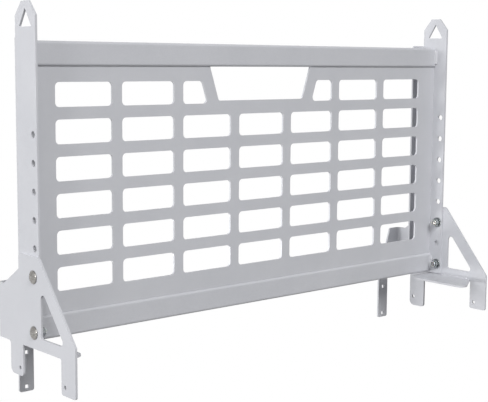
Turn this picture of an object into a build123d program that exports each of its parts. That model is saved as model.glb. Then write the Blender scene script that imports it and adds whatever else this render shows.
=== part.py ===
"""Truck headache rack: a slotted steel panel in a welded frame, on two bolted bed-rail brackets.

Frame: X runs across the truck, the braced side faces -Y, and Z is up. The origin lies on the
centre line, in the plane of the panel's front face, level with the undersides of the two
shelves that sit on the bed rails. All sizes are in millimetres.
"""

from build123d import *
import os

os.makedirs("parts", exist_ok=True)

# Sheet and tube
plate = 4.76
tube_height = 50.8
tube_depth = 38.1
tube_wall = 3.2
tube_corner = 6.0
tube_front_y = -4.86

# Welded frame
inner_half_width = 625.0
frame_bottom = 9.0
frame_height = 609.6

# Slots in the panel
columns = 7
rows = 6
slot_width = 138.9
slot_height = 50.8
slot_corner = 9.5
column_pitch = 164.25
row_pitch = 76.2
slot_centre_z = 320.0

# Brake-light window, open at the panel's top edge
window_half_top = 157.0
window_half_bottom = 131.5
window_bottom = 491.0
window_corner = 6.0
window_web = 33.5

# Uprights
upright_front = -40.0
ear_back = 38.0
upright_bottom = 6.0
upright_shoulder = 667.5
upright_top = 696.0
ear_half_flat = 14.0
flange_width = 41.3
flange_top = 624.5
upright_bend_inside = 3.5
tie_half_base = 23.5
tie_bottom = 645.3
tie_top = 678.5
tie_corner = 1.5

# Height-adjusting holes and the bolts in them
hole_y = -25.0
hole_radius = 7.15
hole_pitch = 57.15
hole_count = 8
lowest_hole_z = 33.0
bolt_heights = {"lower": lowest_hole_z, "upper": lowest_hole_z + 2 * hole_pitch}

# Bed-rail brackets
bracket_top = 190.0
bracket_tail_y = 33.0
brace_slope = 1.2
brace_width_y = 40.5
leg_width = 50.8
leg_bottom = -72.0
leg_hole_height = -55.0
leg_hole_setback = 38.0
small_hole_radius = 4.4
window_floor = 25.0
tail_height = 117.0
tail_shoulder = (95.0, 117.0)
tail_start = (33.0, 157.0)
inner_tab_front = 20.0
inner_tab_back = 70.0
rear_face_y = 118.0
bracket_bend_inside = 6.0
rear_tab_inner = 553.0
rear_tab_outer = 588.0
rear_tab_bottom = -133.0
rear_edge_top_x = 594.5
rear_edge_low_z = -15.0
rear_square = 9.0
rear_square_heights = (-46.5, -122.5)

# The two brackets differ in their brace, leg and window, one tab and the outline of their shelf
bracket_tip_y = {"left": -45.0, "right": -49.5}
leg_front = {"left": -177.6, "right": -189.4}
window_back = {"left": -52.5, "right": -59.5}
tab_bottom = {"left": -67.5, "right": -97.0}
tab_hole = {"left": (33.0, -51.0), "right": (57.0, -72.0)}
shelf_inner = {"left": 589.0, "right": 536.0}
shelf_toe = {"left": -139.5, "right": -138.0}
shelf_toe_slant = {"left": 0.0, "right": 60.0}
shelf_toe_corner = 18.0
shelf_back = 0.0
shelf_back_corner = 34.0

# Carriage bolts, washers and lock nuts, half-inch
bolt_radius = 6.35
neck_side = 12.7
neck_hole_side = 13.3
head_radius = 13.85
head_height = 6.6
head_rim = 1.2
washer_radius = 13.5
washer_thickness = 2.4
washer_bore = 6.9
nut_flats = 19.05
nut_height = 9.2
nut_chamfer = 1.1
collar_radius = 8.1
collar_height = 3.4
nut_bore = 6.45
thread_tail = 1.8
thread_chamfer = 1.2

# Weld beads
end_bead = 6.0
edge_bead = 4.2
seam_bead = 4.2
stitch_length = 50.0
bead_bulge = 0.75

# Worked-out places
inner_x = inner_half_width
web_outer_x = inner_x + plate
bracket_outer_x = web_outer_x + plate
frame_top = frame_bottom + frame_height
panel_bottom = frame_bottom + tube_height
panel_top = frame_top - tube_height
bend_outside = upright_bend_inside + plate
flange_back_y = ear_back + bend_outside
flange_front_y = flange_back_y - plate
tube_back_y = tube_front_y + tube_depth
flange_inner_x = web_outer_x - flange_width
upright_middle_y = (upright_front + ear_back) / 2
slot_half = slot_width / 2
top_row_z = slot_centre_z + (rows - 1) / 2 * row_pitch
outer_column = (columns - 1) // 2
window_slope = (window_half_top - window_half_bottom) / (panel_top - window_bottom)


def save(piece, name):
    """Label one finished piece and write its file."""
    piece.label = name
    export_step(piece, f"parts/{name}.step")


def save_pair(piece, name):
    """Write a right-hand piece and its mirror image on the left."""
    with BuildPart() as other:
        add(piece)
        mirror(about=Plane.YZ, mode=Mode.REPLACE)
    save(piece, f"right_{name}")
    save(other.part, f"left_{name}")


# ---------------------------------------------------------------- slotted panel
def window_edge(z):
    """Half the window's width at a height."""
    return window_half_bottom + (z - window_bottom) * window_slope


with BuildSketch() as brake_light_window:
    with BuildLine():
        above = panel_top + 20
        Polyline(
            (-window_edge(above), above),
            (-window_half_bottom, window_bottom),
            (window_half_bottom, window_bottom),
            (window_edge(above), above),
            close=True,
        )
    make_face()
    fillet(brake_light_window.vertices().group_by(Axis.Y)[0], radius=window_corner)

with BuildPart() as mesh_panel:
    with BuildSketch(Plane.XZ):
        with Locations((0, (panel_bottom + panel_top) / 2)):
            Rectangle(2 * inner_x, panel_top - panel_bottom)
        for column in range(-outer_column, outer_column + 1):
            for row in range(rows):
                slot_z = top_row_z - row * row_pitch
                if row > 0 or abs(column) > 1:
                    with Locations((column * column_pitch, slot_z)):
                        RectangleRounded(slot_width, slot_height, slot_corner, mode=Mode.SUBTRACT)
        # the two slots beside the window are cut back in line with its slanted edges
        for side in (-1, 1):
            slot_top = top_row_z + slot_height / 2
            slot_bottom = top_row_z - slot_height / 2
            with BuildLine():
                FilletPolyline(
                    (side * (column_pitch + slot_half), slot_bottom),
                    (side * (column_pitch + slot_half), slot_top),
                    (side * (window_edge(slot_top) + window_web), slot_top),
                    (side * (window_edge(slot_bottom) + window_web), slot_bottom),
                    radius=slot_corner,
                    close=True,
                )
            make_face(mode=Mode.SUBTRACT)
        add(brake_light_window.sketch, mode=Mode.SUBTRACT)
    extrude(amount=-plate)

save(mesh_panel.part, "mesh_panel")


# ---------------------------------------------------------------- rectangular rails
def rail(bottom_z):
    """A rectangular tube between the uprights."""
    middle = ((tube_front_y + tube_back_y) / 2, bottom_z + tube_height / 2)
    with BuildPart() as tube:
        with BuildSketch(Plane.YZ.offset(-inner_x)):
            with Locations(middle):
                RectangleRounded(tube_depth, tube_height, tube_corner)
                RectangleRounded(
                    tube_depth - 2 * tube_wall,
                    tube_height - 2 * tube_wall,
                    tube_corner - tube_wall,
                    mode=Mode.SUBTRACT,
                )
        extrude(amount=2 * inner_x)
    return tube.part


save(rail(frame_bottom), "bottom_rail")
save(rail(panel_top), "top_rail")


# ---------------------------------------------------------------- uprights
bend_centre = (web_outer_x - bend_outside, ear_back)

with BuildPart() as upright:
    # flat web with the pointed ear, the tie-down triangle and the row of holes
    with BuildSketch(Plane.YZ.offset(inner_x)):
        with BuildLine():
            Polyline(
                (upright_front, upright_bottom),
                (ear_back, upright_bottom),
                (ear_back, upright_shoulder),
                (upright_middle_y + ear_half_flat, upright_top),
                (upright_middle_y - ear_half_flat, upright_top),
                (upright_front, upright_shoulder),
                close=True,
            )
        make_face()
        with BuildLine():
            FilletPolyline(
                (upright_middle_y - tie_half_base, tie_bottom),
                (upright_middle_y + tie_half_base, tie_bottom),
                (upright_middle_y, tie_top + 2 * tie_corner),
                radius=tie_corner,
                close=True,
            )
        make_face(mode=Mode.SUBTRACT)
        with Locations([(hole_y, lowest_hole_z + step * hole_pitch) for step in range(hole_count)]):
            Circle(hole_radius, mode=Mode.SUBTRACT)
    extrude(amount=plate)
    # bend and rear flange, which stop just above the top rail
    with BuildSketch(Plane.XY.offset(upright_bottom)):
        with BuildLine():
            Line((inner_x, bend_centre[1]), (web_outer_x, bend_centre[1]))
            CenterArc(bend_centre, bend_outside, 0, 90)
            Polyline(
                (bend_centre[0], flange_back_y),
                (flange_inner_x, flange_back_y),
                (flange_inner_x, flange_front_y),
                (bend_centre[0], flange_front_y),
            )
            CenterArc(bend_centre, upright_bend_inside, 0, 90)
        make_face()
    extrude(amount=flange_top - upright_bottom)

save_pair(upright.part, "upright")


# ---------------------------------------------------------------- bed-rail brackets
def bracket(side):
    """The bent side plate of one bracket, drawn as the right-hand one."""
    front = leg_front[side]
    back = front + leg_width
    tip_y = bracket_tip_y[side]
    brace_foot = bracket_top + (front - tip_y) * brace_slope
    brace_inner_y = tip_y + brace_width_y
    back_edge = window_back[side]
    sharp_apex = bracket_top + (back_edge - brace_inner_y) * brace_slope
    sharp_toe = brace_inner_y - (bracket_top - window_floor) / brace_slope
    outside = bracket_bend_inside + plate
    centre = (bracket_outer_x - outside, rear_face_y - bracket_bend_inside)
    with BuildPart() as side_plate:
        with BuildSketch(Plane.YZ.offset(web_outer_x)):
            with BuildLine():
                outline = [
                    (tip_y, bracket_top, 9),
                    (front, brace_foot, 8),
                    (front, leg_bottom, 6),
                    (back, leg_bottom, 6),
                    (back, 0, 3),
                    (inner_tab_front, 0, 3),
                    (inner_tab_front, tab_bottom[side], 9),
                    (inner_tab_back, tab_bottom[side], 14),
                    (inner_tab_back, 0, 8),
                    (centre[1], 0, 0.5),
                    (centre[1], tail_height, 0.5),
                    (*tail_shoulder, 10),
                    (*tail_start, 6),
                    (bracket_tail_y, bracket_top, 8),
                ]
                FilletPolyline(
                    *[(y, z) for y, z, radius in outline],
                    radius=[radius for y, z, radius in outline],
                    close=True,
                )
            make_face()
            # triangular window behind the brace
            with BuildLine():
                FilletPolyline(
                    (back_edge, window_floor),
                    (back_edge, sharp_apex),
                    (sharp_toe, window_floor),
                    radius=[5, 9.5, 8],
                    close=True,
                )
            make_face(mode=Mode.SUBTRACT)
            with Locations([(hole_y, height) for height in bolt_heights.values()]):
                Rectangle(neck_hole_side, neck_hole_side, mode=Mode.SUBTRACT)
            with Locations((front + leg_hole_setback, leg_hole_height), tab_hole[side]):
                Circle(small_hole_radius, mode=Mode.SUBTRACT)
        extrude(amount=plate)
        # bend behind the upright
        with BuildSketch(Plane.XY):
            with BuildLine():
                Line((web_outer_x, centre[1]), (bracket_outer_x, centre[1]))
                CenterArc(centre, outside, 0, 90)
                Line((centre[0], rear_face_y), (centre[0], rear_face_y + plate))
                CenterArc(centre, bracket_bend_inside, 0, 90)
            make_face()
        extrude(amount=tail_height)
        # rear flange, which narrows downwards into the rear tab
        with BuildSketch(Plane.XZ.offset(-rear_face_y)):
            with BuildLine():
                FilletPolyline(
                    (centre[0], 0),
                    (rear_tab_outer, 0),
                    (rear_tab_outer, rear_tab_bottom),
                    (rear_tab_inner, rear_tab_bottom),
                    (rear_tab_inner, rear_edge_low_z),
                    (rear_edge_top_x, tail_height),
                    (centre[0], tail_height),
                    radius=[0.01, 5, 5, 5, 12, 4, 0.01],
                    close=True,
                )
            make_face()
            with Locations([((rear_tab_inner + rear_tab_outer) / 2, z) for z in rear_square_heights]):
                Rectangle(rear_square, rear_square, mode=Mode.SUBTRACT)
        extrude(amount=-plate)
    return side_plate.part


def shelf(side):
    """The flat plate welded inside a bracket, which sits on the bed rail."""
    with BuildPart() as flat:
        with BuildSketch(Plane.XY):
            with BuildLine():
                FilletPolyline(
                    (web_outer_x, shelf_back),
                    (web_outer_x, shelf_toe[side]),
                    (shelf_inner[side], shelf_toe[side] - shelf_toe_slant[side]),
                    (shelf_inner[side], shelf_back),
                    radius=[1, 4, shelf_toe_corner, shelf_back_corner],
                    close=True,
                )
            make_face()
        extrude(amount=plate)
    return flat.part


def bead_profile(corner, first, second):
    """The rounded triangle of a fillet weld, from its corner and the ends of its two legs."""
    middle = (Vector(*first) + Vector(*second)) / 2
    outward = (middle - Vector(*corner)).normalized() * bead_bulge
    with BuildSketch() as profile:
        with BuildLine():
            Polyline(first, corner, second)
            ThreePointArc(first, middle + outward, second)
        make_face()
    return profile.sketch


def shelf_weld(side):
    """The fillet weld along the top inside corner of a shelf, from its toe to the upright."""
    start = shelf_toe[side] + 8
    end = upright_front - 3
    with BuildPart() as bead:
        with BuildSketch(Plane.XZ.offset(-start)):
            add(
                bead_profile(
                    (web_outer_x, plate),
                    (web_outer_x - seam_bead, plate),
                    (web_outer_x, plate + seam_bead),
                )
            )
        extrude(amount=start - end)
    return bead.part


def on_side(piece, side):
    """Return a right-hand piece, or its mirror image for the left."""
    if side == "right":
        return piece
    with BuildPart() as other:
        add(piece)
        mirror(about=Plane.YZ, mode=Mode.REPLACE)
    return other.part


for side in ("left", "right"):
    save(on_side(bracket(side), side), f"{side}_bracket")
    save(on_side(shelf(side), side), f"{side}_rail_shelf")
    save(on_side(shelf_weld(side), side), f"{side}_shelf_weld")


# ---------------------------------------------------------------- bolts, washers and lock nuts
def carriage_bolt(height):
    """A domed bolt with a square neck, put in from outside the bracket."""
    axis = Axis((0, hole_y, height), (1, 0, 0))
    side_view = Plane(origin=(0, hole_y, height), x_dir=(1, 0, 0), z_dir=(0, -1, 0))
    tail_x = inner_x - washer_thickness - nut_height - collar_height - thread_tail
    with BuildPart() as bolt:
        with BuildSketch(side_view):
            with BuildLine():
                Polyline(
                    (bracket_outer_x + head_rim, head_radius),
                    (bracket_outer_x, head_radius),
                    (bracket_outer_x, bolt_radius),
                    (tail_x + thread_chamfer, bolt_radius),
                    (tail_x, bolt_radius - thread_chamfer),
                    (tail_x, 0),
                    (bracket_outer_x + head_height, 0),
                )
                TangentArc(
                    (bracket_outer_x + head_height, 0),
                    (bracket_outer_x + head_rim, head_radius),
                    tangent=(0, 1),
                )
            make_face()
        revolve(axis=axis)
        with BuildSketch(Plane.YZ.offset(web_outer_x + 0.3)):
            with Locations((hole_y, height)):
                Rectangle(neck_side, neck_side)
        extrude(amount=plate - 0.3)
    return bolt.part


def washer(height):
    """A flat washer under the nut, on the upright's inner face."""
    with BuildPart() as disc:
        with BuildSketch(Plane.YZ.offset(inner_x)):
            with Locations((hole_y, height)):
                Circle(washer_radius)
                Circle(washer_bore, mode=Mode.SUBTRACT)
        extrude(amount=-washer_thickness)
        chamfer(disc.edges().filter_by(GeomType.CIRCLE).group_by(Axis.X)[0], length=0.3)
    return disc.part


def lock_nut(height):
    """A hexagon nut with the round collar of its nylon ring."""
    face_x = inner_x - washer_thickness
    hexagon_end = face_x - nut_height
    corner_radius = nut_flats / 3**0.5
    side_view = Plane(origin=(0, hole_y, height), x_dir=(1, 0, 0), z_dir=(0, -1, 0))
    with BuildPart() as nut:
        with BuildSketch(Plane.YZ.offset(face_x)):
            with Locations((hole_y, height)):
                RegularPolygon(nut_flats / 2, 6, major_radius=False)
        extrude(amount=-nut_height)
        # both rims of the hexagon are turned down to a cone
        with BuildSketch(side_view):
            with BuildLine():
                Polyline(
                    (face_x, 0),
                    (face_x, nut_flats / 2),
                    (face_x - nut_chamfer, corner_radius + 0.2),
                    (hexagon_end + nut_chamfer, corner_radius + 0.2),
                    (hexagon_end, nut_flats / 2),
                    (hexagon_end, 0),
                    close=True,
                )
            make_face()
        revolve(axis=Axis((0, hole_y, height), (1, 0, 0)), mode=Mode.INTERSECT)
        with BuildSketch(Plane.YZ.offset(hexagon_end)):
            with Locations((hole_y, height)):
                Circle(collar_radius)
        extrude(amount=-collar_height)
        fillet(nut.edges().filter_by(GeomType.CIRCLE).sort_by(Axis.X)[0], radius=1.4)
        with BuildSketch(Plane.YZ.offset(face_x)):
            with Locations((hole_y, height)):
                Circle(nut_bore)
        extrude(amount=-(nut_height + collar_height), mode=Mode.SUBTRACT)
    return nut.part


for level, height in bolt_heights.items():
    save_pair(carriage_bolt(height), f"{level}_bolt")
    save_pair(washer(height), f"{level}_washer")
    save_pair(lock_nut(height), f"{level}_lock_nut")


# ---------------------------------------------------------------- frame welds
def corner_weld(bottom_z):
    """The upright beads that join one rail's end to an upright, before and behind."""
    flat_height = tube_height - 2 * tube_corner
    with BuildPart() as beads:
        with BuildSketch(Plane.XY.offset(bottom_z + tube_corner)):
            add(
                bead_profile(
                    (inner_x, tube_front_y),
                    (inner_x - end_bead, tube_front_y),
                    (inner_x, tube_front_y - end_bead),
                )
            )
            add(
                bead_profile(
                    (inner_x, tube_back_y),
                    (inner_x - edge_bead, tube_back_y),
                    (inner_x, tube_back_y + edge_bead),
                )
            )
        extrude(amount=flat_height)
    return beads.part


def side_seam():
    """Short upright stitches behind the panel, one beside every other row of slots."""
    with BuildPart() as beads:
        for row in range(0, rows, 2):
            stitch_z = top_row_z - (row + 0.5) * row_pitch
            with BuildSketch(Plane.XY.offset(stitch_z - stitch_length / 2)):
                add(
                    bead_profile(
                        (inner_x, plate),
                        (inner_x - seam_bead, plate),
                        (inner_x, plate + seam_bead),
                    )
                )
            extrude(amount=stitch_length)
    return beads.part


def rail_seam(edge_z, direction, places):
    """Short stitches behind the panel along a rail, at the given columns."""
    with BuildPart() as beads:
        for column in places:
            with BuildSketch(Plane.YZ.offset(column * column_pitch - stitch_length / 2)):
                add(
                    bead_profile(
                        (plate, edge_z),
                        (plate + seam_bead, edge_z),
                        (plate, edge_z + direction * seam_bead),
                    )
                )
            extrude(amount=stitch_length)
    return beads.part


save_pair(corner_weld(panel_top), "top_corner_weld")
save_pair(corner_weld(frame_bottom), "bottom_corner_weld")
save_pair(side_seam(), "side_seam_weld")
save(rail_seam(panel_bottom, 1, range(-outer_column, outer_column + 1)), "bottom_seam_weld")
save(rail_seam(panel_top, -1, (-3, -2, 2, 3)), "top_seam_weld")
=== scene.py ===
import math
import bpy
from mathutils import Matrix, Vector


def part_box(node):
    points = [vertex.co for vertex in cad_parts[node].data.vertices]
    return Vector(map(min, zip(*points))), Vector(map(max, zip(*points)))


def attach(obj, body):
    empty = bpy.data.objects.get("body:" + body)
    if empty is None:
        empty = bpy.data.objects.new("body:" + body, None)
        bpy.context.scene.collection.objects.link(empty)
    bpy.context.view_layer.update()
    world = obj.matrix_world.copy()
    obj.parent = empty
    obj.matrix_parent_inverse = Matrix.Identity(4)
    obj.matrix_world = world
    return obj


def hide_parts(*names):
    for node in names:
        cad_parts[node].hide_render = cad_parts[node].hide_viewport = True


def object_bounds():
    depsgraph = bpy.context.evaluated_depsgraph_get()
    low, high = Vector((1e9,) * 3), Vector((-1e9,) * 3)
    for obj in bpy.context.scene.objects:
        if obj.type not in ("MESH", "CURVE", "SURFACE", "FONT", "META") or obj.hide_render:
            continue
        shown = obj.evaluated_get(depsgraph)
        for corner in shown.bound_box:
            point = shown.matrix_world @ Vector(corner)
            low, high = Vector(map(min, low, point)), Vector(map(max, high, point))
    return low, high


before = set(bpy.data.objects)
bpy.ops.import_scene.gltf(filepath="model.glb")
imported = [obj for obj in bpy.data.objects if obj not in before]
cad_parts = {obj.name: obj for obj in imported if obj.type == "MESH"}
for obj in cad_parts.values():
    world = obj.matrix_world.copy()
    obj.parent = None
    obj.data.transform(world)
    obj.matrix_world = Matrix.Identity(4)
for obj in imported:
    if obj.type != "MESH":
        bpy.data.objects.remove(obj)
cad_low, cad_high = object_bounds()
bpy.ops.object.select_all(action="DESELECT")

# ---------------------------------------------------------------- camera
# The rack is seen from its braced side, past its left end and a little from above, from about 2.7 metres.
# The camera is turned to its right, tipped down a little and very nearly level, with a long lens.
turn, drop, lean = 0.71550, 0.12270, 0.0066
standpoint = (-1.7728, -1.9779, 0.5781)
focal_length, film_width = 83.0, 36.0
far_clip = 200.0
forward = Vector((math.sin(turn) * math.cos(drop), math.cos(turn) * math.cos(drop), -math.sin(drop)))
level = Vector((math.cos(turn), -math.sin(turn), 0.0))
upward = level.cross(forward)
rightward = level * math.cos(lean) + upward * math.sin(lean)
upward = upward * math.cos(lean) - level * math.sin(lean)
bpy.ops.object.camera_add(location=standpoint)
camera = bpy.context.object
camera.name = "camera"
camera.rotation_euler = Matrix((rightward, upward, -forward)).transposed().to_euler()
camera.data.lens = focal_length
camera.data.sensor_width = film_width
camera.data.clip_end = far_clip
bpy.context.scene.camera = camera
camera.select_set(False)

# ---------------------------------------------------------------- studio floor and light
# A plain white studio. The floor and the surroundings show pure white, and rather less white in reflections.
# As light they act only like a grey card and a dim room, so the undersides and the rear tabs stay in shade.
floor_radius, floor_gap = 40.0, 0.0005
card_grey = (0.30, 0.30, 0.30, 1.0)
room_tint, room_strength = (0.97, 0.98, 1.0, 1.0), 0.10
pure_white = (1.0, 1.0, 1.0, 1.0)
white_in_reflections = 0.6


def white_to_the_eye(tree, dim, white, surface):
    """Show white to the camera and partly in reflections, and let only the dim shader light the rack."""
    ray = tree.nodes.new("ShaderNodeLightPath")
    mirrored = tree.nodes.new("ShaderNodeMath")
    mirrored.operation = "MULTIPLY"
    mirrored.inputs[1].default_value = white_in_reflections
    tree.links.new(ray.outputs["Is Glossy Ray"], mirrored.inputs[0])
    shown = tree.nodes.new("ShaderNodeMath")
    shown.operation = "MAXIMUM"
    tree.links.new(ray.outputs["Is Camera Ray"], shown.inputs[0])
    tree.links.new(mirrored.outputs["Value"], shown.inputs[1])
    either = tree.nodes.new("ShaderNodeMixShader")
    tree.links.new(shown.outputs["Value"], either.inputs["Fac"])
    tree.links.new(dim, either.inputs[1])
    tree.links.new(white, either.inputs[2])
    tree.links.new(either.outputs["Shader"], surface)


bpy.ops.mesh.primitive_circle_add(vertices=96, radius=floor_radius, fill_type="NGON",
                                  location=(0, 0, cad_low.z - floor_gap))
floor = bpy.context.object
floor.name = "studio_floor"
floor_paint = bpy.data.materials.new("white_floor")
floor_paint.use_nodes = True
tree = floor_paint.node_tree
tree.nodes.clear()
matt = tree.nodes.new("ShaderNodeBsdfDiffuse")
matt.inputs["Color"].default_value = card_grey
lit = tree.nodes.new("ShaderNodeEmission")
lit.inputs["Color"].default_value = pure_white
lit.inputs["Strength"].default_value = 1.0
floor_output = tree.nodes.new("ShaderNodeOutputMaterial")
white_to_the_eye(tree, matt.outputs["BSDF"], lit.outputs["Emission"], floor_output.inputs["Surface"])
floor.data.materials.append(floor_paint)
floor.select_set(False)

studio = bpy.data.worlds.new("studio")
bpy.context.scene.world = studio
studio.use_nodes = True
tree = studio.node_tree
room = tree.nodes["Background"]
room.inputs["Color"].default_value = room_tint
room.inputs["Strength"].default_value = room_strength
backdrop = tree.nodes.new("ShaderNodeBackground")
backdrop.inputs["Color"].default_value = pure_white
backdrop.inputs["Strength"].default_value = 1.0
world_output = tree.nodes["World Output"]
white_to_the_eye(tree, room.outputs["Background"], backdrop.outputs["Background"],
                 world_output.inputs["Surface"])
bpy.context.scene.view_settings.view_transform = "Standard"


def softbox(name, place, width, height, power, aim=(0.0, 0.0, 0.25)):
    """A soft rectangular lamp that faces the rack."""
    bpy.ops.object.light_add(type="AREA", location=place)
    lamp = bpy.context.object
    lamp.name = name
    lamp.data.shape = "RECTANGLE"
    lamp.data.size = width
    lamp.data.size_y = height
    lamp.data.energy = power
    lamp.rotation_euler = (Vector(aim) - Vector(place)).to_track_quat("-Z", "Y").to_euler()
    lamp.select_set(False)
    return lamp


wall = softbox("rear_left_wall_of_light", (-12.0, 4.2, 4.0), width=18.0, height=8.0, power=1680.0)
wall.visible_glossy = False
softbox("front_left_strip", (-8.6, -3.0, 3.4), width=1.2, height=7.0, power=200.0)
softbox("high_front_softbox", (-4.0, -11.0, 10.0), width=7.0, height=7.0, power=2120.0)
low_fill = softbox("low_fill_behind_the_panel", (-0.40, 0.30, -0.06), width=0.25, height=0.06, power=2.9,
                   aim=(0.63, 0.0, -0.05))
low_fill.visible_camera = False

# ---------------------------------------------------------------- slotted panel
# One laser-cut sheet of 3/16 inch steel. Its cut edges are eased before coating, and the whole welded frame
# is then powder coated in one satin light grey, baked on, with the fine orange peel that powder leaves.
coat_grey = (0.515, 0.521, 0.550, 1.0)
coat_grey_thick = (0.490, 0.497, 0.527, 1.0)
# The eased edges get a lighter grey than the faces: a painted highlight along every edge.
edge_highlight_grey = (0.560, 0.566, 0.594, 1.0)
face_gloss, edge_gloss = (0.36, 0.47), (0.30, 0.40)
panel_edge_radius = 0.0006
sharp_edge = math.radians(40.0)
smooth_within = math.radians(32.0)
flat_within = math.radians(0.5)
merge_gap = 0.00001


def new_finish(name):
    """A finish to build up: the material, its node tree, its shader, and the place on the part."""
    finish = bpy.data.materials.new(name)
    finish.use_nodes = True
    tree = finish.node_tree
    place = tree.nodes.new("ShaderNodeTexCoord").outputs["Object"]
    return finish, tree, tree.nodes["Principled BSDF"], place


def mottling(tree, place, scale, detail=2.0, rough=0.5):
    """An uneven cloudy pattern over the part, finer as the scale goes up."""
    noise = tree.nodes.new("ShaderNodeTexNoise")
    noise.inputs["Scale"].default_value = scale
    noise.inputs["Detail"].default_value = detail
    noise.inputs["Roughness"].default_value = rough
    tree.links.new(place, noise.inputs["Vector"])
    return noise.outputs["Fac"]


def graded(tree, value, low, high, start=0.0, end=1.0):
    """Turn a value that runs from start to end into one that runs from low to high."""
    ramp = tree.nodes.new("ShaderNodeMapRange")
    ramp.inputs["From Min"].default_value = start
    ramp.inputs["From Max"].default_value = end
    ramp.inputs["To Min"].default_value = low
    ramp.inputs["To Max"].default_value = high
    tree.links.new(value, ramp.inputs["Value"])
    return ramp.outputs["Result"]


def tinted(tree, value, *stops):
    """A colour that changes with a value, through stops of a position and a colour."""
    ramp = tree.nodes.new("ShaderNodeValToRGB")
    elements = ramp.color_ramp.elements
    for index, (position, colour) in enumerate(stops):
        stop = elements[index] if index < 2 else elements.new(position)
        stop.position = position
        stop.color = colour
    tree.links.new(value, ramp.inputs["Fac"])
    return ramp.outputs["Color"]


def shaded(tree, colour, amount):
    """A colour made darker or lighter by an amount that varies over the part."""
    mix = tree.nodes.new("ShaderNodeMix")
    mix.data_type = "RGBA"
    mix.blend_type = "MULTIPLY"
    mix.inputs["Factor"].default_value = 1.0
    tree.links.new(colour, mix.inputs["A"])
    tree.links.new(amount, mix.inputs["B"])
    return mix.outputs["Result"]


def relief(tree, height, strength, depth):
    """A bump of the given depth, too fine to be modelled."""
    bump = tree.nodes.new("ShaderNodeBump")
    bump.inputs["Strength"].default_value = strength
    bump.inputs["Distance"].default_value = depth
    tree.links.new(height, bump.inputs["Height"])
    return bump


def powder_coat(name, light, dark, gloss=face_gloss, hollow_shade=0.0):
    """Satin powder coat: faint clouding, uneven gloss and two sizes of orange peel, with painted shade in
    the hollows when hollow_shade is given.
    """
    coat, tree, shader, place = new_finish(name)
    shader.inputs["IOR"].default_value = 1.5
    shader.inputs["Coat Weight"].default_value = 0.12
    shader.inputs["Coat Roughness"].default_value = 0.22
    clouds = mottling(tree, place, 7.0, detail=4.0, rough=0.6)
    colour = tinted(tree, clouds, (0.35, dark), (0.65, light))
    flecks = mottling(tree, place, 900.0)
    colour = shaded(tree, colour, graded(tree, flecks, 0.93, 1.03, start=0.30, end=0.70))
    # Painted shade: where the surface curves inwards, as between weld ripples, the colour is darkened.
    if hollow_shade:
        curve = tree.nodes.new("ShaderNodeNewGeometry").outputs["Pointiness"]
        painted_valley_shade = graded(tree, curve, 1.0 - hollow_shade, 1.0, start=0.44, end=0.54)
        colour = shaded(tree, colour, painted_valley_shade)
    tree.links.new(colour, shader.inputs["Base Color"])
    sheen = mottling(tree, place, 26.0, detail=5.0, rough=0.65)
    tree.links.new(graded(tree, sheen, *gloss, start=0.3, end=0.7), shader.inputs["Roughness"])
    fine = relief(tree, mottling(tree, place, 1500.0, detail=1.0), strength=0.16, depth=0.00025)
    peel = relief(tree, mottling(tree, place, 420.0), strength=0.14, depth=0.0006)
    tree.links.new(fine.outputs["Normal"], peel.inputs["Normal"])
    tree.links.new(peel.outputs["Normal"], shader.inputs["Normal"])
    return coat


face_coat = powder_coat("satin_grey_powder_coat", coat_grey, coat_grey_thick)
# The edge finish is painted lighter than the faces, as a highlight along the eased edges.
edge_highlight_coat = powder_coat("powder_coat_painted_edge_highlight", edge_highlight_grey, coat_grey, gloss=edge_gloss)


def eased_plate(node, radius, materials, segments=2):
    """A copy of a steel part with its sharp edges rounded over, the last material going on the edges."""
    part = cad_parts[node].copy()
    part.data = part.data.copy()
    part.name = node + "_eased"
    part.parent = None
    bpy.context.scene.collection.objects.link(part)
    for key in [key for key in part.keys() if key.startswith("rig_")]:
        del part[key]
    part.data.materials.clear()
    for material in materials:
        part.data.materials.append(material)
    part.select_set(True)
    bpy.context.view_layer.objects.active = part
    bpy.ops.object.mode_set(mode="EDIT")
    bpy.ops.mesh.select_all(action="SELECT")
    bpy.ops.mesh.remove_doubles(threshold=merge_gap)
    bpy.ops.mesh.dissolve_limited(angle_limit=flat_within)
    bpy.ops.object.mode_set(mode="OBJECT")
    ease = part.modifiers.new("eased edges", "BEVEL")
    ease.width = radius
    ease.segments = segments
    ease.limit_method = "ANGLE"
    ease.angle_limit = sharp_edge
    ease.material = len(materials) - 1
    bpy.ops.object.modifier_apply(modifier=ease.name)
    bpy.ops.object.shade_smooth_by_angle(angle=smooth_within)
    level_faces = part.modifiers.new("level faces", "WEIGHTED_NORMAL")
    level_faces.keep_sharp = True
    bpy.ops.object.modifier_apply(modifier=level_faces.name)
    part.select_set(False)
    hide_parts(node)
    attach(part, "root")


eased_plate("mesh_panel", panel_edge_radius, [face_coat, edge_highlight_coat])

# ---------------------------------------------------------------- rails
# Two rectangular steel tubes, cold rolled with round corners, cut square and welded between the uprights.
# They are powder coated with the panel.
rail_edge_radius = 0.0005
for name in ("top_rail", "bottom_rail"):
    eased_plate(name, rail_edge_radius, [face_coat, edge_highlight_coat])

# ---------------------------------------------------------------- uprights, brackets and shelves
# Laser-cut 3/16 inch plates. The uprights and brackets are pressed to a right angle in a brake, and each
# shelf is a flat plate welded inside its bracket. All are powder coated like the panel.
plate_edge_radius = 0.0007
for side in ("left", "right"):
    for name in ("upright", "bracket", "rail_shelf"):
        eased_plate(f"{side}_{name}", plate_edge_radius, [face_coat, edge_highlight_coat])

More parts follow.
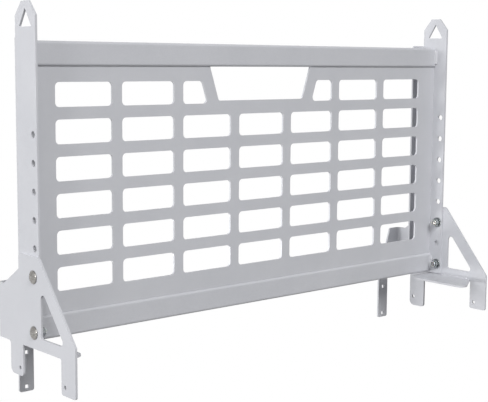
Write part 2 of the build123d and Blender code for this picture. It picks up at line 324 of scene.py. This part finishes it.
# ---------------------------------------------------------------- welds
# Fillet welds laid by hand with a wire-feed torch: the pool freezes in overlapping crescents about 2 mm
# apart. They are coated together with the frame, and the valleys between the ripples are painted darker, as
# painted shade.
weld_coat = powder_coat("powder_coat_over_weld", coat_grey, coat_grey_thick, hollow_shade=0.22)
ripple_pitch = 0.0020
ripple_thickness = 0.95 * ripple_pitch
ripple_lean = math.radians(24)
throat_share, width_share, rise_share = 0.45, 0.96, 0.35
skin_grid = 0.00048
uneven_share = 0.07
uneven_pool = bpy.data.textures.new("uneven weld pool", "CLOUDS")
uneven_pool.noise_scale = 0.004


def weld_bead(low, high, root):
    """One rippled bead that fills a box's long side, from the corner line where the two plates meet."""
    extent = high - low
    run = max(range(3), key=lambda axis: extent[axis])
    across = [axis for axis in range(3) if axis != run]
    leg = sum(extent[axis] for axis in across) / 2
    outward = Vector((0, 0, 0))
    for axis in across:
        outward[axis] = math.copysign(1.0, (low[axis] + high[axis]) / 2 - root[axis])
    outward.normalize()
    along = Vector((0, 0, 0))
    along[run] = 1.0
    sideways = along.cross(outward)
    count = int((extent[run] - 2 * ripple_pitch) / ripple_pitch)
    bpy.ops.mesh.primitive_uv_sphere_add(segments=24, ring_count=12, radius=1.0)
    bead = bpy.context.object
    bpy.ops.object.mode_set(mode="EDIT")
    bpy.ops.transform.resize(value=(throat_share * leg, width_share * leg, ripple_thickness))
    bpy.ops.transform.rotate(value=ripple_lean, orient_axis="Y", center_override=(0, 0, 0))
    bpy.ops.object.mode_set(mode="OBJECT")
    crescents = bead.modifiers.new("overlapping crescents", "ARRAY")
    crescents.count = count
    crescents.use_relative_offset = False
    crescents.use_constant_offset = True
    crescents.constant_offset_displace = (0, 0, ripple_pitch)
    bpy.ops.object.modifier_apply(modifier=crescents.name)
    one_skin = bead.modifiers.new("one skin", "REMESH")
    one_skin.mode = "VOXEL"
    one_skin.voxel_size = skin_grid
    one_skin.use_smooth_shade = True
    bpy.ops.object.modifier_apply(modifier=one_skin.name)
    start = Vector(root)
    start[run] = (low[run] + high[run] - (count - 1) * ripple_pitch) / 2
    turned = Matrix((outward, sideways, along)).transposed().to_4x4()
    bead.matrix_world = Matrix.Translation(start + outward * rise_share * leg) @ turned
    bpy.ops.object.transform_apply(location=True, rotation=True, scale=True)
    uneven = bead.modifiers.new("uneven", "DISPLACE")
    uneven.texture = uneven_pool
    uneven.texture_coords = "GLOBAL"
    uneven.strength = uneven_share * leg
    bpy.ops.object.modifier_apply(modifier=uneven.name)
    bead.select_set(False)
    return bead


def root_corner(solid):
    """The box around a plain bead, and the corner of it where the two plates meet."""
    points = [Vector(vertex.co) for vertex in solid.data.vertices]
    low = Vector([min(point[axis] for point in points) for axis in range(3)])
    high = Vector([max(point[axis] for point in points) for axis in range(3)])
    extent = high - low
    run = max(range(3), key=lambda axis: extent[axis])
    corners = [Vector([(low, high)[pick >> axis & 1][axis] for axis in range(3)]) for pick in range(8)]
    # a bead fills its box only on the side of the plates, so the corner across from its root is bare
    bareness = {}
    for corner in corners:
        opposite = low + high - corner
        opposite[run] = corner[run]
        bareness[tuple(corner)] = min((point - opposite).length for point in points)
    return low, high, max(corners, key=lambda corner: bareness[tuple(corner)])


def weld_group(node):
    """Ripple every separate bead of one weld node, each from the corner its plain solid fills."""
    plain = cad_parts[node].copy()
    plain.data = plain.data.copy()
    plain.parent = None
    bpy.context.scene.collection.objects.link(plain)
    plain.select_set(True)
    bpy.context.view_layer.objects.active = plain
    bpy.ops.object.mode_set(mode="EDIT")
    bpy.ops.mesh.select_all(action="SELECT")
    bpy.ops.mesh.remove_doubles(threshold=merge_gap)
    bpy.ops.mesh.separate(type="LOOSE")
    bpy.ops.object.mode_set(mode="OBJECT")
    solids = list(bpy.context.selected_objects)
    bpy.ops.object.select_all(action="DESELECT")
    beads = []
    for solid in solids:
        beads.append(weld_bead(*root_corner(solid)))
        bpy.data.objects.remove(solid)
    for bead in beads:
        bead.select_set(True)
    bpy.context.view_layer.objects.active = beads[0]
    if len(beads) > 1:
        bpy.ops.object.join()
    welded = bpy.context.view_layer.objects.active
    welded.name = node + "_rippled"
    welded.data.materials.clear()
    welded.data.materials.append(weld_coat)
    welded.select_set(False)
    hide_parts(node)
    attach(welded, "root")


for side in ("left", "right"):
    for place in ("shelf", "top_corner", "bottom_corner", "side_seam"):
        weld_group(f"{side}_{place}_weld")
for place in ("top_seam", "bottom_seam"):
    weld_group(f"{place}_weld")

# ---------------------------------------------------------------- carriage bolts
# Half-inch stainless carriage bolts: a domed head, cold forged and tumbled smooth, a square neck that
# stops it turning in the bracket, and a rolled thread of 13 turns to the inch.
bolt_low, bolt_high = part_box("right_lower_bolt")
tail_end, head_top = bolt_low.x, bolt_high.x
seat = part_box("right_bracket")[1].x
head_radius = (bolt_high.z - bolt_low.z) / 2
head_rim = 0.0012
seat_chamfer = 0.0012
neck_side = 0.0127
neck_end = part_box("right_upright")[1].x + 0.0003
neck_overlap = 0.0004
neck_corner = 0.0006
shank_radius = 0.00635
tail_chamfer = 0.0007
thread_root = 0.0054
thread_pitch = 0.001954
thread_turns = 9
thread_start = tail_end + 0.0016
thread_foot, thread_crest = 0.46 * thread_pitch, 0.07 * thread_pitch
thread_sink, thread_play = 0.0003, 0.00008
darker_stainless = (0.37, 0.357, 0.340, 1.0)
lighter_stainless = (0.53, 0.515, 0.495, 1.0)
smooth_bolt_within = math.radians(35.0)


def painted_shade_in_corners(tree, colour, reach, darkest, start, end):
    """A metal colour darkened close to an inner corner: painted shade where little light reaches."""
    nook = tree.nodes.new("ShaderNodeAmbientOcclusion")
    nook.inputs["Distance"].default_value = reach
    return shaded(tree, colour, graded(tree, nook.outputs["AO"], darkest, 1.0, start=start, end=end))


stainless, tree, shader, place = new_finish("tumbled_stainless")
shader.inputs["Metallic"].default_value = 1.0
drawn = tree.nodes.new("ShaderNodeMapping")
drawn.inputs["Scale"].default_value = (0.25, 1.0, 1.0)
tree.links.new(place, drawn.inputs["Vector"])
smears = mottling(tree, drawn.outputs["Vector"], 260.0, detail=5.0)
colour = tinted(tree, smears, (0.3, darker_stainless), (0.7, lighter_stainless))
# Painted shade: the bolt is darkened wherever other metal is close, most of all under the rim of the head.
colour = painted_shade_in_corners(tree, colour, reach=0.014, darkest=0.14, start=0.55, end=0.97)
tree.links.new(colour, shader.inputs["Base Color"])
tree.links.new(graded(tree, smears, 0.20, 0.32), shader.inputs["Roughness"])
scratches = mottling(tree, drawn.outputs["Vector"], 2400.0)
tumbled = relief(tree, scratches, strength=0.10, depth=0.0001)
tree.links.new(tumbled.outputs["Normal"], shader.inputs["Normal"])


def domed_head():
    """The cap of a large ball, cut flat, with a low straight rim down to the seat."""
    cap_height = head_top - seat - head_rim
    ball = (head_radius**2 + cap_height**2) / (2 * cap_height)
    bpy.ops.mesh.primitive_uv_sphere_add(segments=64, ring_count=96, radius=ball,
                                         location=(head_top - ball, 0, 0), rotation=(0, math.pi / 2, 0))
    bpy.ops.object.transform_apply(location=True, rotation=True, scale=True)
    bpy.ops.object.mode_set(mode="EDIT")
    bpy.ops.mesh.select_all(action="SELECT")
    bpy.ops.mesh.bisect(plane_co=(seat + head_rim, 0, 0), plane_no=(1, 0, 0), clear_inner=True)
    bpy.ops.mesh.extrude_edges_move(TRANSFORM_OT_translate={"value": (-head_rim, 0, 0)})
    bpy.ops.mesh.edge_face_add()
    bpy.ops.mesh.inset(thickness=seat_chamfer)
    bpy.ops.object.mode_set(mode="OBJECT")
    return bpy.context.object


def square_neck():
    """The square under the head, with its corners just broken, run into the round shank."""
    bpy.ops.mesh.primitive_cube_add(size=1.0, location=((seat + neck_end) / 2, 0, 0),
                                    scale=(seat - neck_end + neck_overlap, neck_side, neck_side))
    bpy.ops.object.transform_apply(location=True, rotation=True, scale=True)
    bpy.ops.object.mode_set(mode="EDIT")
    bpy.ops.mesh.select_all(action="SELECT")
    bpy.ops.mesh.bevel(offset=neck_corner, segments=2, affect="EDGES")
    bpy.ops.object.mode_set(mode="OBJECT")
    return bpy.context.object


def shank_core():
    """The shank to the root of its thread, with a chamfer turned on the end."""
    bpy.ops.mesh.primitive_cylinder_add(vertices=48, radius=thread_root, depth=seat - tail_end,
                                        location=((seat + tail_end) / 2, 0, 0),
                                        rotation=(0, math.pi / 2, 0))
    bpy.ops.object.transform_apply(location=True, rotation=True, scale=True)
    core = bpy.context.object
    bpy.ops.object.mode_set(mode="EDIT")
    bpy.ops.mesh.select_all(action="DESELECT")
    bpy.ops.object.mode_set(mode="OBJECT")
    for face in core.data.polygons:
        face.select = face.normal.x < -0.9
    bpy.ops.object.mode_set(mode="EDIT")
    bpy.ops.mesh.bevel(offset=tail_chamfer, segments=2, affect="EDGES")
    bpy.ops.object.mode_set(mode="OBJECT")
    return core


def rolled_thread():
    """One ridge wound along the end of the shank, its turns almost touching at the foot."""
    bpy.ops.mesh.primitive_plane_add(size=1.0)
    ridge = bpy.context.object
    sides = ((-thread_foot, thread_root - thread_sink), (thread_foot, thread_root - thread_sink),
             (thread_crest, shank_radius - thread_play), (-thread_crest, shank_radius - thread_play))
    order = [ridge.data.polygons[0].vertices[k] for k in range(4)]
    for index, (along, out) in zip(order, sides):
        ridge.data.vertices[index].co = (thread_start + along, 0, out)
    bpy.ops.object.mode_set(mode="EDIT")
    bpy.ops.mesh.select_all(action="SELECT")
    bpy.ops.mesh.delete(type="ONLY_FACE")
    bpy.ops.object.mode_set(mode="OBJECT")
    winding = ridge.modifiers.new("winding", "SCREW")
    winding.axis = "X"
    winding.angle = math.tau
    winding.screw_offset = thread_pitch
    winding.iterations = thread_turns
    winding.steps = 32
    winding.render_steps = 32
    winding.use_merge_vertices = True
    bpy.ops.object.modifier_apply(modifier=winding.name)
    bpy.ops.object.mode_set(mode="EDIT")
    bpy.ops.mesh.select_all(action="SELECT")
    bpy.ops.mesh.fill_holes(sides=4)
    bpy.ops.mesh.normals_make_consistent(inside=False)
    bpy.ops.object.mode_set(mode="OBJECT")
    return ridge


bolt_pieces = []
for make in (domed_head, square_neck, shank_core, rolled_thread):
    bpy.ops.object.select_all(action="DESELECT")
    bolt_pieces.append(make())
for piece in bolt_pieces:
    piece.select_set(True)
bpy.context.view_layer.objects.active = bolt_pieces[0]
bpy.ops.object.join()
pattern_bolt = bpy.context.object
bpy.ops.object.shade_smooth_by_angle(angle=smooth_bolt_within)
bpy.ops.object.select_all(action="DESELECT")
for side, half_turn in (("right", 0.0), ("left", math.pi)):
    for height in ("lower", "upper"):
        node = f"{side}_{height}_bolt"
        low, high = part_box(node)
        centre = Vector((0, (low.y + high.y) / 2, (low.z + high.z) / 2))
        bolt = pattern_bolt.copy()
        bolt.data = pattern_bolt.data.copy()
        bolt.name = f"{side}_{height}_carriage_bolt"
        bpy.context.scene.collection.objects.link(bolt)
        bolt.data.transform(Matrix.Translation(centre) @ Matrix.Rotation(half_turn, 4, "Z"))
        bolt.data.materials.clear()
        bolt.data.materials.append(stainless)
        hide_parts(node)
        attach(bolt, "root")
bpy.data.objects.remove(pattern_bolt)

# ---------------------------------------------------------------- lock nuts and washers
# Zinc-plated steel, passivated to a pale blue that turns faintly yellow in patches. Each nut is cold formed
# with its collar rolled in over a ring of white nylon, which grips the thread.
deep_zinc = (0.33, 0.355, 0.365, 1.0)
pale_blue_zinc = (0.52, 0.545, 0.55, 1.0)
yellowed_zinc = (0.48, 0.475, 0.44, 1.0)
nylon_white, nylon_bright = (0.62, 0.63, 0.60, 1.0), (0.78, 0.79, 0.77, 1.0)
nut_edge_radius = 0.0003
ring_radius = 0.0070
ring_thickness = 0.0006
ring_stretch = 1.4

zinc, tree, shader, place = new_finish("blue_white_zinc")
shader.inputs["Metallic"].default_value = 1.0
patches = mottling(tree, place, 110.0, detail=3.0)
colour = tinted(tree, patches, (0.32, deep_zinc), (0.62, pale_blue_zinc), (0.78, yellowed_zinc))
# Painted shade: the nuts and washers are darkened close to the bracket and to each other.
colour = painted_shade_in_corners(tree, colour, reach=0.005, darkest=0.16, start=0.40, end=0.90)
tree.links.new(colour, shader.inputs["Base Color"])
tree.links.new(graded(tree, patches, 0.14, 0.28), shader.inputs["Roughness"])
grain = relief(tree, mottling(tree, place, 1800.0), strength=0.12, depth=0.0001)
tree.links.new(grain.outputs["Normal"], shader.inputs["Normal"])

nylon, tree, shader, place = new_finish("white_nylon")
shader.inputs["Subsurface Weight"].default_value = 0.15
shader.inputs["Subsurface Scale"].default_value = 0.002
moulding = mottling(tree, place, 700.0)
milky = tinted(tree, moulding, (0.0, nylon_white), (1.0, nylon_bright))
tree.links.new(milky, shader.inputs["Base Color"])
tree.links.new(graded(tree, moulding, 0.38, 0.55), shader.inputs["Roughness"])

for side in ("left", "right"):
    for height in ("lower", "upper"):
        nut = f"{side}_{height}_lock_nut"
        eased_plate(f"{side}_{height}_washer", nut_edge_radius, [zinc])
        eased_plate(nut, nut_edge_radius, [zinc], segments=3)
        low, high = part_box(nut)
        mouth = high.x if side == "left" else low.x
        bpy.ops.mesh.primitive_torus_add(major_segments=48, minor_segments=12, major_radius=ring_radius,
                                         minor_radius=ring_thickness, rotation=(0, math.pi / 2, 0),
                                         location=(mouth, (low.y + high.y) / 2, (low.z + high.z) / 2))
        ring = bpy.context.object
        ring.name = f"{side}_{height}_nylon_ring"
        bpy.ops.object.mode_set(mode="EDIT")
        bpy.ops.transform.resize(value=(ring_stretch, 1.0, 1.0), center_override=(mouth, 0, 0))
        bpy.ops.object.mode_set(mode="OBJECT")
        bpy.ops.object.transform_apply(location=True, rotation=True, scale=True)
        bpy.ops.object.shade_smooth()
        ring.data.materials.append(nylon)
        ring.select_set(False)
        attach(ring, "root")
